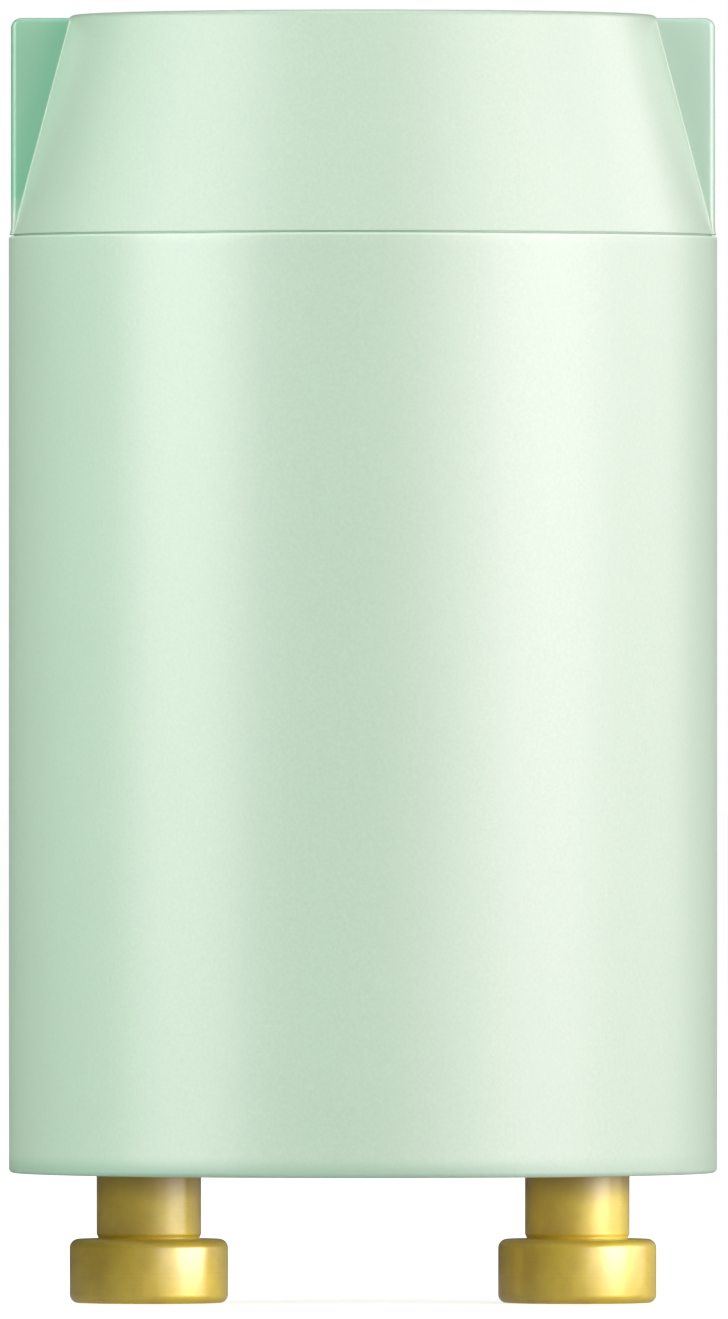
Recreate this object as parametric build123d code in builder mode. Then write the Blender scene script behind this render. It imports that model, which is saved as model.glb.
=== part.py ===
import os
from math import cos, radians, sin, tan

from build123d import *

os.makedirs("parts", exist_ok=True)

# A fluorescent starter in its plastic canister. Sizes are in millimetres.
# Heights count up from the tips of the contact pins, which stand in the XZ plane.

# Contact pins: turned brass studs, at the spacing that every starter holder takes
pin_spacing = 12.7
pin_reach = 3.87
head_diameter = 4.7
head_height = 1.91
head_bevel = 0.18
neck_diameter = 3.1
neck_groove = 0.06
tail_diameter = 2.4
tail_bore_diameter = 1.6
tail_bore_depth = 2.8
rivet_diameter = 3.6
rivet_height = 0.45
rivet_bevel = 0.15

# Canister: barrel, shoulder step, tapered crown and two finger wings
barrel_diameter = 21.0
barrel_height = 27.74
foot_bevel = 0.12
shoulder_step = 0.07
crown_height = 6.57
crown_taper = 14.8
crown_bevel = 0.13
wall = 1.1
roof = 1.2
bore_corner = 0.8
wing_thickness = 2.4
wing_drop = 0.1
wing_corner = 0.28
wing_round = 0.18
gate_diameter = 2.6
gate_depth = 0.2
gate_stub_diameter = 1.0
gate_stub_height = 0.12

# Mouth of the canister: the disc snaps past a lip and stops at a ledge, turned by two keys
mouth_wall = 0.65
lip_grip = 0.2
lip_bevel = 0.15
key_width = 1.4
key_depth = 0.9

# Base disc: closes the mouth and carries the pins
disc_recess = 0.4
disc_thickness = 2.0
disc_fit = 0.05
disc_bevel = 0.25
pin_fit = 0.02
boss_diameter = 5.2
boss_height = 0.7
barrier_thickness = 1.1
barrier_height = 2.4
barrier_bevel = 0.3
key_fit = 0.1

# Glow tube: blown glass with a dome, a sealed-off tip and a flat pinch
tube_diameter = 8.4
tube_wall = 0.55
tube_side_room = 1.4
tube_head_room = 3.3
dome_rings = 3
tip_foot_diameter = 1.6
tip_diameter = 0.8
tip_height = 1.4
tip_bevel = 0.15
pinch_thickness = 2.4
pinch_height = 3.6
pinch_flare = 2.6
lead_room = 4.6

# Wires that run through the pinch
seal_spacing = 3.0
seal_wire_diameter = 0.5
seal_embed = 0.9
post_diameter = 0.7
post_rise = 6.0
electrode_rise = 5.0
rod_bevel = 0.1

# Bimetal strip: a hairpin, welded to its post by one leg, with a gap to the electrode at the other
strip_thickness = 0.2
strip_width = 1.8
strip_weld_length = 3.0
strip_head_room = 3.6
strip_gap = 0.3
strip_tip_drop = 2.2
emitter_width = 1.2
emitter_height = 1.6
emitter_thickness = 0.2

# Leads and their sleeves
lead_diameter = 0.5
lead_flats = 8
lead_bend = 0.9
lead_pair_spacing = 0.7
lead_end_gap = 0.25
lead_drop_room = 1.3
pinch_lead_run = 1.3
sleeve_diameter = 1.1
sleeve_length = 3.0
sleeve_fit = 0.05
solder_dome_diameter = 2.8
solder_crest_diameter = 1.9
solder_dome_height = 0.5

# Capacitor: a flat winding dipped in lacquer
capacitor_width = 8.0
capacitor_height = 9.5
capacitor_thickness = 3.4
capacitor_round = 1.2
capacitor_bevel = 0.8
capacitor_gap = 1.2
capacitor_room = 4.4
capacitor_lead_spacing = 5.0
capacitor_embed = 1.0
capacitor_lead_run = 1.5

# Heights
foot_z = pin_reach
shoulder_z = foot_z + barrel_height
crown_top_z = shoulder_z + crown_height
disc_under_z = foot_z + disc_recess
disc_top_z = disc_under_z + disc_thickness
boss_top_z = disc_top_z + boss_height
rivet_top_z = boss_top_z + rivet_height
tail_bore_floor_z = rivet_top_z - tail_bore_depth
pinch_z = disc_top_z + lead_room
pinch_top_z = pinch_z + pinch_height
cavity_top_z = crown_top_z - roof
tube_top_z = cavity_top_z - tube_head_room
capacitor_z = disc_top_z + capacitor_room

# Radii
barrel_r = barrel_diameter / 2
crown_base_r = barrel_r - shoulder_step
crown_slope = tan(radians(crown_taper))
crown_top_r = crown_base_r - crown_height * crown_slope
seat_r = barrel_r - mouth_wall
bore_r = barrel_r - wall
bore_top_r = crown_top_r + roof * crown_slope - wall
disc_r = seat_r - disc_fit
lip_r = seat_r - lip_grip
tube_r = tube_diameter / 2
wire_r = lead_diameter / 2
post_r = post_diameter / 2

# Places across the can: the tube stands behind the axis, the capacitor in front of it
pin_x = pin_spacing / 2
seal_x = seal_spacing / 2
tube_y = bore_r - tube_side_room - tube_r
capacitor_y = tube_y - tube_r - capacitor_gap - capacitor_thickness / 2

SIDES = (("left", -1), ("right", 1))


def save(part, name):
    """Give a finished piece its name and write it to its own file."""
    part.label = name
    export_step(part, f"parts/{name}.step")


def wire_along(corners):
    """A lead whose straight runs are joined by arcs of one bend radius."""
    with BuildPart() as wire:
        with BuildLine() as route:
            FilletPolyline(*corners, radius=lead_bend)
        with BuildSketch(Plane(route.line @ 0, z_dir=route.line % 0)):
            RegularPolygon(wire_r, lead_flats)
        sweep(path=route.line)
    return wire.part


def dome(radius, rings):
    """The rings of the half-round end of the glass, from the side of the tube towards its crest."""
    turns = [radians(90 * ring / rings) for ring in range(rings)]
    centre_z = tube_top_z - tube_r
    return [(radius * cos(turn), centre_z + radius * sin(turn)) for turn in turns]


# Wings: a bar across the crown, cut to the round of the crown's foot
with BuildPart() as wings:
    with BuildSketch(Plane.XY.offset(shoulder_z)):
        Rectangle(barrel_diameter, wing_thickness)
        Circle(crown_base_r, mode=Mode.INTERSECT)
    extrude(amount=crown_height - wing_drop)
    wing_top = wings.faces().sort_by(Axis.Z)[-1]
    fillet(wing_top.edges().filter_by(GeomType.CIRCLE), wing_corner)
    side_faces = wings.faces().filter_by(Axis.Y)
    foot_edges = wings.faces().sort_by(Axis.Z)[0].edges()
    fillet(side_faces.edges() - foot_edges, wing_round)

# Canister: one moulding
with BuildPart() as canister:
    with BuildSketch(Plane.XZ):
        with BuildLine():
            Polyline(
                (0, foot_z),
                (barrel_r - foot_bevel, foot_z),
                (barrel_r, foot_z + foot_bevel),
                (barrel_r, shoulder_z),
                (crown_base_r, shoulder_z),
                (crown_top_r + crown_bevel * crown_slope, crown_top_z - crown_bevel),
                (crown_top_r - crown_bevel, crown_top_z),
                (0, crown_top_z),
                close=True,
            )
        make_face()
    revolve(axis=Axis.Z)
    add(wings.part)
    # Gate mark, a shallow dish with a stub in it
    with BuildSketch(Plane.XY.offset(crown_top_z)):
        Circle(gate_diameter / 2)
    extrude(amount=-gate_depth, mode=Mode.SUBTRACT)
    with BuildSketch(Plane.XY.offset(crown_top_z - gate_depth)):
        Circle(gate_stub_diameter / 2)
    extrude(amount=gate_stub_height)
    # Bore, with the seat of the disc and the lip that holds it
    with BuildSketch(Plane.XZ):
        with BuildLine():
            Polyline(
                (0, foot_z),
                (lip_r + lip_bevel, foot_z),
                (lip_r, foot_z + lip_bevel),
                (lip_r, disc_under_z),
                (seat_r, disc_under_z),
                (seat_r, disc_top_z),
                (bore_r, disc_top_z),
                (bore_r, shoulder_z),
                (bore_top_r + bore_corner * crown_slope, cavity_top_z - bore_corner),
                (bore_top_r - bore_corner, cavity_top_z),
                (0, cavity_top_z),
                close=True,
            )
        make_face()
    revolve(axis=Axis.Z, mode=Mode.SUBTRACT)
    # Keys that stop the disc from turning
    with BuildSketch(Plane.XY.offset(disc_under_z)):
        with Locations((0, seat_r - key_depth), (0, key_depth - seat_r)):
            Rectangle(key_width, key_depth * 2)
        Circle(seat_r - key_depth, mode=Mode.SUBTRACT)
        Circle((barrel_r + seat_r) / 2, mode=Mode.INTERSECT)
    extrude(amount=disc_thickness)
save(canister.part, "canister")

# Base disc
with BuildPart() as base_disc:
    with BuildSketch(Plane.XY.offset(disc_under_z)):
        Circle(disc_r)
    extrude(amount=disc_thickness)
    chamfer(base_disc.edges().group_by(Axis.Z)[-1], disc_bevel)
    with BuildSketch(Plane.XY.offset(disc_under_z)):
        with Locations((0, seat_r), (0, -seat_r)):
            Rectangle(key_width + 2 * key_fit, 2 * (key_depth + key_fit))
    extrude(amount=disc_thickness, mode=Mode.SUBTRACT)
    with BuildSketch(Plane.XY.offset(disc_top_z)):
        with Locations((pin_x, 0), (-pin_x, 0)):
            Circle(boss_diameter / 2)
    extrude(amount=boss_height)
    with BuildSketch(Plane.XY.offset(disc_top_z)):
        Rectangle(barrier_thickness, 2 * (seat_r - key_depth - 3 * key_fit))
    extrude(amount=barrier_height)
    barrier_top = base_disc.faces().sort_by(Axis.Z)[-1]
    chamfer(barrier_top.edges().filter_by(Axis.Y), barrier_bevel)
    with Locations((pin_x, 0, boss_top_z), (-pin_x, 0, boss_top_z)):
        Hole(tail_diameter / 2 + pin_fit)
save(base_disc.part, "base_disc")

# What each side has: a pin, a seal wire, a lead from the tube, one from the capacitor, a sleeve and solder
wire_end_z = tail_bore_floor_z + lead_end_gap
lead_turn_z = rivet_top_z + lead_drop_room
lamp_lead_y = lead_pair_spacing / 2
glass_wires = []
capacitor_leads = []
for side, sign in SIDES:
    x_pin = sign * pin_x
    x_seal = sign * seal_x
    x_capacitor = sign * capacitor_lead_spacing / 2
    pin_plane = Plane((x_pin, 0, 0), x_dir=(1, 0, 0), z_dir=(0, -1, 0))
    pin_axis = Axis((x_pin, 0, 0), (0, 0, 1))

    with BuildPart() as contact_pin:
        with BuildSketch(pin_plane):
            with BuildLine():
                Polyline(
                    (0, 0),
                    (head_diameter / 2 - head_bevel, 0),
                    (head_diameter / 2, head_bevel),
                    (head_diameter / 2, head_height - head_bevel),
                    (head_diameter / 2 - head_bevel, head_height),
                    (neck_diameter / 2 - neck_groove, head_height),
                    (neck_diameter / 2, head_height + neck_groove),
                    (neck_diameter / 2, disc_under_z),
                    (tail_diameter / 2, disc_under_z),
                    (tail_diameter / 2, boss_top_z),
                    (rivet_diameter / 2, boss_top_z),
                    (rivet_diameter / 2, rivet_top_z - rivet_bevel),
                    (rivet_diameter / 2 - rivet_bevel, rivet_top_z),
                    (tail_bore_diameter / 2, rivet_top_z),
                    (tail_bore_diameter / 2, tail_bore_floor_z),
                    (0, tail_bore_floor_z),
                    close=True,
                )
            make_face()
        revolve(axis=pin_axis)
    save(contact_pin.part, f"contact_pin_{side}")

    with BuildPart() as seal_wire:
        with BuildSketch(Plane.XY.offset(pinch_z + seal_embed)):
            with Locations((x_seal, tube_y)):
                Circle(seal_wire_diameter / 2)
        extrude(amount=pinch_height - 2 * seal_embed)
    save(seal_wire.part, f"seal_wire_{side}")
    glass_wires.append(seal_wire.part)

    lamp_lead_corners = [
        Vector(x_seal, tube_y, pinch_z + seal_embed),
        Vector(x_seal, tube_y, pinch_z - pinch_lead_run),
        Vector(x_pin, lamp_lead_y, lead_turn_z),
        Vector(x_pin, lamp_lead_y, wire_end_z),
    ]
    lamp_lead = wire_along(lamp_lead_corners)
    save(lamp_lead, f"lamp_lead_{side}")
    glass_wires.append(lamp_lead)

    capacitor_lead_corners = [
        Vector(x_capacitor, capacitor_y, capacitor_z + capacitor_embed),
        Vector(x_capacitor, capacitor_y, capacitor_z - capacitor_lead_run),
        Vector(x_pin, -lamp_lead_y, lead_turn_z),
        Vector(x_pin, -lamp_lead_y, wire_end_z),
    ]
    capacitor_lead = wire_along(capacitor_lead_corners)
    save(capacitor_lead, f"capacitor_lead_{side}")
    capacitor_leads.append(capacitor_lead)

    # The sleeve sits in the middle of the lead's sloping run
    slope = lamp_lead_corners[2] - lamp_lead_corners[1]
    sleeve_middle = (lamp_lead_corners[1] + lamp_lead_corners[2]) / 2
    with BuildPart() as lead_sleeve:
        with BuildSketch(Plane(sleeve_middle, z_dir=slope)):
            Circle(sleeve_diameter / 2)
            Circle(wire_r + sleeve_fit, mode=Mode.SUBTRACT)
        extrude(amount=sleeve_length / 2, both=True)
    save(lead_sleeve.part, f"lead_sleeve_{side}")

    # Solder fills the hollow tail round both leads and stands proud of it
    with BuildPart() as solder_joint:
        with BuildSketch(pin_plane):
            with BuildLine():
                Polyline(
                    (0, tail_bore_floor_z),
                    (tail_bore_diameter / 2, tail_bore_floor_z),
                    (tail_bore_diameter / 2, rivet_top_z),
                    (solder_dome_diameter / 2, rivet_top_z),
                    (solder_crest_diameter / 2, rivet_top_z + solder_dome_height),
                    (0, rivet_top_z + solder_dome_height),
                    close=True,
                )
            make_face()
        revolve(axis=pin_axis)
        add([lamp_lead, capacitor_lead], mode=Mode.SUBTRACT)
    save(solder_joint.part, f"solder_joint_{side}")

# Post on the left and electrode on the right, welded to the seal wires inside the pinch
weld_z = pinch_top_z - seal_embed
electrode_top_z = pinch_top_z + pinch_flare + electrode_rise
post_top_z = pinch_top_z + pinch_flare + post_rise
with BuildPart() as bimetal_post:
    with BuildSketch(Plane.XY.offset(weld_z)):
        with Locations((-seal_x, tube_y)):
            Circle(post_r)
    extrude(amount=post_top_z - weld_z)
    chamfer(bimetal_post.edges().sort_by(Axis.Z)[-1], rod_bevel)
save(bimetal_post.part, "bimetal_post")

with BuildPart() as fixed_electrode:
    with BuildSketch(Plane.XY.offset(weld_z)):
        with Locations((seal_x, tube_y)):
            Circle(post_r)
    extrude(amount=electrode_top_z - weld_z)
    chamfer(fixed_electrode.edges().sort_by(Axis.Z)[-1], rod_bevel)
save(fixed_electrode.part, "fixed_electrode")

# Hairpin strip: the welded leg lies against the post, the free leg stops short of the electrode
welded_leg_x = post_r - seal_x + strip_thickness / 2
free_leg_x = seal_x - post_r - strip_gap - strip_thickness / 2
hairpin_r = (free_leg_x - welded_leg_x) / 2
hairpin_z = tube_top_z - strip_head_room - hairpin_r
free_end_z = electrode_top_z - strip_tip_drop
strip_plane = Plane((0, tube_y, 0), x_dir=(1, 0, 0), z_dir=(0, -1, 0))
with BuildPart() as bimetal_strip:
    with BuildSketch(strip_plane):
        with BuildLine():
            welded_leg = Line((welded_leg_x, post_top_z - strip_weld_length), (welded_leg_x, hairpin_z))
            hairpin = TangentArc(welded_leg @ 1, (free_leg_x, hairpin_z), tangent=(0, 1))
            Line(hairpin @ 1, (free_leg_x, free_end_z))
        trace(line_width=strip_thickness)
    extrude(amount=strip_width / 2, both=True)
save(bimetal_strip.part, "bimetal_strip")

# Coated flag on the far side of the electrode
with BuildPart() as emitter_tab:
    with BuildSketch(Plane.XY.offset(electrode_top_z - post_r - emitter_height)):
        with Locations((seal_x + post_r, tube_y)):
            Rectangle(emitter_thickness, emitter_width, align=(Align.MIN, Align.CENTER))
    extrude(amount=emitter_height)
    fillet(emitter_tab.edges().filter_by(Axis.X), emitter_width / 5)
save(emitter_tab.part, "emitter_tab")

# Glass: a round tube with a half-round end, pressed flat at its foot
tube_plane = Plane((0, tube_y, 0), x_dir=(1, 0, 0), z_dir=(0, -1, 0))
tube_side_plane = Plane((0, tube_y, 0), x_dir=(0, 1, 0), z_dir=(1, 0, 0))
tube_axis = Axis((0, tube_y, 0), (0, 0, 1))
tube_foot_z = pinch_top_z + pinch_flare
inner_r = tube_r - tube_wall
with BuildPart() as glow_tube:
    with BuildSketch(tube_plane):
        with BuildLine():
            Polyline(
                (0, pinch_z),
                (tube_r, pinch_z),
                *dome(tube_r, dome_rings),
                (0, tube_top_z),
                close=True,
            )
        make_face()
    revolve(axis=tube_axis)
    with BuildSketch(tube_side_plane):
        with BuildLine():
            Polyline(
                (pinch_thickness / 2, pinch_z),
                (pinch_thickness / 2, pinch_top_z),
                (tube_r, tube_foot_z),
                (tube_diameter, tube_foot_z),
                (tube_diameter, pinch_z),
                close=True,
            )
        make_face()
        mirror(about=Plane.YZ)
    extrude(amount=tube_diameter, both=True, mode=Mode.SUBTRACT)
    # Tip where the tube was sealed off
    with BuildSketch(tube_plane):
        with BuildLine():
            Polyline(
                (0, tube_top_z - tube_wall),
                (tip_foot_diameter / 2, tube_top_z - tube_wall),
                (tip_diameter / 2, tube_top_z + tip_height - tip_bevel),
                (tip_diameter / 2 - tip_bevel, tube_top_z + tip_height),
                (0, tube_top_z + tip_height),
                close=True,
            )
        make_face()
    revolve(axis=tube_axis)
    # Gas space
    with BuildSketch(tube_plane):
        with BuildLine():
            Polyline(
                (0, pinch_top_z + pinch_flare / 4),
                (pinch_thickness / 3, pinch_top_z + pinch_flare / 4),
                (inner_r, tube_foot_z + tube_wall),
                *dome(inner_r, dome_rings - 1),
                (0, tube_top_z - tube_wall),
                close=True,
            )
        make_face()
    revolve(axis=tube_axis, mode=Mode.SUBTRACT)
    add(glass_wires + [bimetal_post.part, fixed_electrode.part], mode=Mode.SUBTRACT)
save(glow_tube.part, "glow_tube")

# Capacitor
with BuildPart() as capacitor_body:
    with BuildSketch(Plane.XY.offset(capacitor_z)):
        with Locations((0, capacitor_y)):
            RectangleRounded(capacitor_width, capacitor_thickness, capacitor_round)
    extrude(amount=capacitor_height)
    chamfer(capacitor_body.edges().group_by(Axis.Z)[-1], capacitor_bevel)
    chamfer(capacitor_body.edges().group_by(Axis.Z)[0], capacitor_bevel)
    add(capacitor_leads, mode=Mode.SUBTRACT)
save(capacitor_body.part, "capacitor_body")
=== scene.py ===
"""Looks of a fluorescent starter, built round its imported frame.

Every length is in metres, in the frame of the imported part: the pins stand on z = 0, and +Z runs up
the canister. Profiles of round pieces are pairs of radius and height.
"""
import logging
from dataclasses import dataclass, replace
from enum import Enum
from math import asin, atan2, cos, pi, radians, sin, sqrt, tan
from typing import Sequence

import bmesh
import bpy
from mathutils import Matrix, Vector


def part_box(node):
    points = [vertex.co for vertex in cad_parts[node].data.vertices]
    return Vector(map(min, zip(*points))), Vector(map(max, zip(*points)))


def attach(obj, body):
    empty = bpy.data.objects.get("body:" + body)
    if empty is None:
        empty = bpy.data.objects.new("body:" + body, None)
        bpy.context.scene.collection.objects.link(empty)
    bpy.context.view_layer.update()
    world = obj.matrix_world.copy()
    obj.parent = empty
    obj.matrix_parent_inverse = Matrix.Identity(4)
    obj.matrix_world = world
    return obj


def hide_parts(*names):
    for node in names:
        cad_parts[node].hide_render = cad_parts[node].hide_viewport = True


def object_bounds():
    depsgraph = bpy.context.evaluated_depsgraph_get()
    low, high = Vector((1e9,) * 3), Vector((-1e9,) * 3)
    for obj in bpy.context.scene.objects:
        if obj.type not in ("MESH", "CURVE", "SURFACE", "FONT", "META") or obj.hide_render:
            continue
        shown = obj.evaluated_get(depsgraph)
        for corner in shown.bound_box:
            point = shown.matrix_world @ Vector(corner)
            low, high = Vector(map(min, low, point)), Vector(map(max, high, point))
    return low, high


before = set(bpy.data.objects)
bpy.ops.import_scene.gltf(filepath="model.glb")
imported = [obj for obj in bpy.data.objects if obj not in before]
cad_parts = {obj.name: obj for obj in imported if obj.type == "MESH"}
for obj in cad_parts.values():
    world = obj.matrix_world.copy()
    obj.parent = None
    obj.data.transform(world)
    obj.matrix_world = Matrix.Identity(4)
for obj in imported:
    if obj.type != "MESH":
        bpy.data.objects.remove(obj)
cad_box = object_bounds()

log = logging.getLogger("starter")

MM = 0.001
ROOT = "root"
IMAGE_WIDTH = 728
IMAGE_HEIGHT = 1319
PIXELS_PER_METRE = 33730.0
SHARP_EDGE = 32.0
MID_RING = 0.6
PINS = ("stud_left", "stud_right")
SMOOTH = {"interpolation_type": "SMOOTHSTEP"}

Shape = bmesh.types.BMesh
Object = bpy.types.Object
Material = bpy.types.Material
Point = tuple[float, float]
Color = tuple[float, float, float]


class Side(Enum):
    """Side of the object, as the names of its nodes have it."""

    LEFT = "left"
    RIGHT = "right"


# Shader expressions


@dataclass(frozen=True)
class Value:
    """A number socket that takes part in Python expressions."""

    graph: "Graph"
    socket: bpy.types.NodeSocket

    def _math(self, operation: str, first: object, second: object = None) -> "Value":
        """Result of a Math node, whose inputs are each a Value or a number."""
        inputs = {0: first} if second is None else {0: first, 1: second}
        return self.graph.node("ShaderNodeMath", {"operation": operation}, inputs).value("Value")

    def __add__(self, other: object) -> "Value":
        """Sum of two values."""
        return self._math("ADD", self, other)

    def __radd__(self, other: object) -> "Value":
        """Sum with a number on the left."""
        return self._math("ADD", other, self)

    def __sub__(self, other: object) -> "Value":
        """Difference of two values."""
        return self._math("SUBTRACT", self, other)

    def __rsub__(self, other: object) -> "Value":
        """Difference with a number on the left."""
        return self._math("SUBTRACT", other, self)

    def __mul__(self, other: object) -> "Value":
        """Product of two values."""
        return self._math("MULTIPLY", self, other)

    def __rmul__(self, other: object) -> "Value":
        """Product with a number on the left."""
        return self._math("MULTIPLY", other, self)

    def __truediv__(self, other: object) -> "Value":
        """Quotient of two values."""
        return self._math("DIVIDE", self, other)

    def __rtruediv__(self, other: object) -> "Value":
        """Quotient with a number on the left."""
        return self._math("DIVIDE", other, self)

    def root(self) -> "Value":
        """Square root."""
        return self._math("SQRT", self)

    def most(self, other: "Value") -> "Value":
        """The larger of two values."""
        return self._math("MAXIMUM", self, other)

    def between(self, low: float, high: float) -> "Value":
        """Rise from 0 at one value to 1 at another, smooth at both ends."""
        inputs = {"Value": self, "From Min": low, "From Max": high}
        return self.graph.node("ShaderNodeMapRange", SMOOTH, inputs).value("Result")


@dataclass(frozen=True)
class NodeHandle:
    """A node that was just added, with its outputs ready for expressions."""

    graph: "Graph"
    node: bpy.types.Node

    def value(self, name: str | int) -> Value:
        """One output as a value."""
        return Value(self.graph, self.node.outputs[name])


class Graph:
    """The node tree of a material or of the world."""

    def __init__(self, owner: Material | bpy.types.World) -> None:
        """Empty the tree of its owner.

        Args:
            owner: The material or world.
        """
        owner.use_nodes = True
        self.owner = owner
        self.tree = owner.node_tree
        self.tree.nodes.clear()

    def node(
        self, kind: str, settings: dict | None = None, inputs: dict | None = None
    ) -> NodeHandle:
        """Add one node.

        Args:
            kind: The node's type.
            settings: Attributes that are set before any socket.
            inputs: Values or links by socket name or number.

        Returns:
            The node with its outputs.
        """
        node = self.tree.nodes.new(kind)
        for name, setting in (settings or {}).items():
            setattr(node, name, setting)
        for key, given in (inputs or {}).items():
            socket = node.inputs[key]
            if isinstance(given, Value):
                self.tree.links.new(given.socket, socket)
            elif isinstance(given, tuple) and len(given) == 3 and socket.type == "RGBA":
                socket.default_value = (*given, 1.0)
            else:
                socket.default_value = given
        return NodeHandle(self, node)

    def blend(self, factor: object, first: object, second: object) -> Value:
        """Mix two colours, where the factor is the share of the second."""
        settings = {"data_type": "RGBA", "blend_type": "MIX"}
        return self.node("ShaderNodeMix", settings, {0: factor, 6: first, 7: second}).value(2)

    def place(self, centre: Vector = Vector((0, 0, 0))) -> Value:
        """Object coordinates, counted from a point of the piece."""
        at = {"Vector": self.node("ShaderNodeTexCoord").value("Object"), "Location": tuple(-centre)}
        return self.node("ShaderNodeMapping", {"vector_type": "POINT"}, at).value("Vector")

    def axes(self, vector: Value) -> tuple[Value, Value, Value]:
        """X, Y and Z of a vector."""
        parts = self.node("ShaderNodeSeparateXYZ", None, {0: vector})
        return parts.value("X"), parts.value("Y"), parts.value("Z")

    def noise(
        self, vector: Value, size: float, detail: float = 2.0, roughness: float = 0.5
    ) -> Value:
        """Cloudy noise from 0 to 1, with features of a size, in octaves of a roughness."""
        inputs = {"Vector": vector, "Scale": 1 / size, "Detail": detail, "Roughness": roughness}
        return self.node("ShaderNodeTexNoise", {"noise_dimensions": "3D"}, inputs).value("Fac")

    def streaks(self, position: Value, size: float) -> Value:
        """Noise along one length, such as a radius or a height."""
        inputs = {"W": position, "Scale": 1 / size, "Detail": 3.0}
        return self.node("ShaderNodeTexNoise", {"noise_dimensions": "1D"}, inputs).value("Fac")

    def bump(self, height: Value, depth: float) -> Value:
        """Normal of a fine relief, whose height goes from 0 to 1."""
        inputs = {"Height": height, "Distance": depth, "Strength": 1.0}
        return self.node("ShaderNodeBump", None, inputs).value("Normal")

    def shown(self) -> Value:
        """1 for rays that show the backdrop, 0 for rays that light the object."""
        path = self.node("ShaderNodeLightPath").value
        return path("Is Camera Ray").most(path("Is Transmission Ray")).most(path("Is Glossy Ray"))

    def finish(self, surface: Value, output: str = "ShaderNodeOutputMaterial") -> bpy.types.ID:
        """Link the surface to an output node, and give back the owner of the tree."""
        self.node(output, None, {"Surface": surface})
        return self.owner


# Finishes


@dataclass(frozen=True)
class Finish:
    """A finish of one kind of surface.

    Attributes:
        name: Name of the material.
        color: Plain colour, linear.
        roughness: Middle roughness.
        grain: Size of its fine texture: mould grain, tool marks or drawing marks.
        depth: Depth of its relief.
        cloud: Size of its larger patches.
        tones: Shares of the colour between which the patches vary.
        uneven: How much the fine texture changes the roughness.
        cloud_uneven: How much the patches change it.
    """

    name: str
    color: Color
    roughness: float
    grain: float = 0.1 * MM
    depth: float = 0.001 * MM
    cloud: float = 2.0 * MM
    tones: Point = (1.0, 1.0)
    uneven: float = 0.0
    cloud_uneven: float = 0.0

    def material(self) -> Material:
        """Build the material."""
        graph = Graph(bpy.data.materials.new(self.name))
        return graph.finish(self.surface(graph))

    def surface(self, graph: Graph) -> Value:
        """Add the surface.

        Args:
            graph: The tree to add it to.

        Returns:
            The closure.
        """
        raise NotImplementedError

    def shade(self, share: float) -> Color:
        """The colour, darker or lighter by a share."""
        return tuple(min(1.0, channel * share) for channel in self.color)

    def toned(self, graph: Graph, factor: Value) -> Value:
        """The colour, from its first tone at factor 0 to its second at 1."""
        return graph.blend(factor, self.shade(self.tones[0]), self.shade(self.tones[1]))

    def skin(
        self, graph: Graph, color: object, uneven: Value, relief: Value, rest: dict | None = None
    ) -> Value:
        """Put the surface shader together.

        Args:
            graph: The tree to add it to.
            color: The base colour.
            uneven: What the texture adds to the roughness.
            relief: Height of the fine relief.
            rest: The shader's other inputs.

        Returns:
            The closure.
        """
        inputs = {"Base Color": color, "Roughness": self.roughness + uneven, **(rest or {})}
        inputs["Normal"] = graph.bump(relief, self.depth)
        return graph.node("ShaderNodeBsdfPrincipled", None, inputs).value("BSDF")


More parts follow.
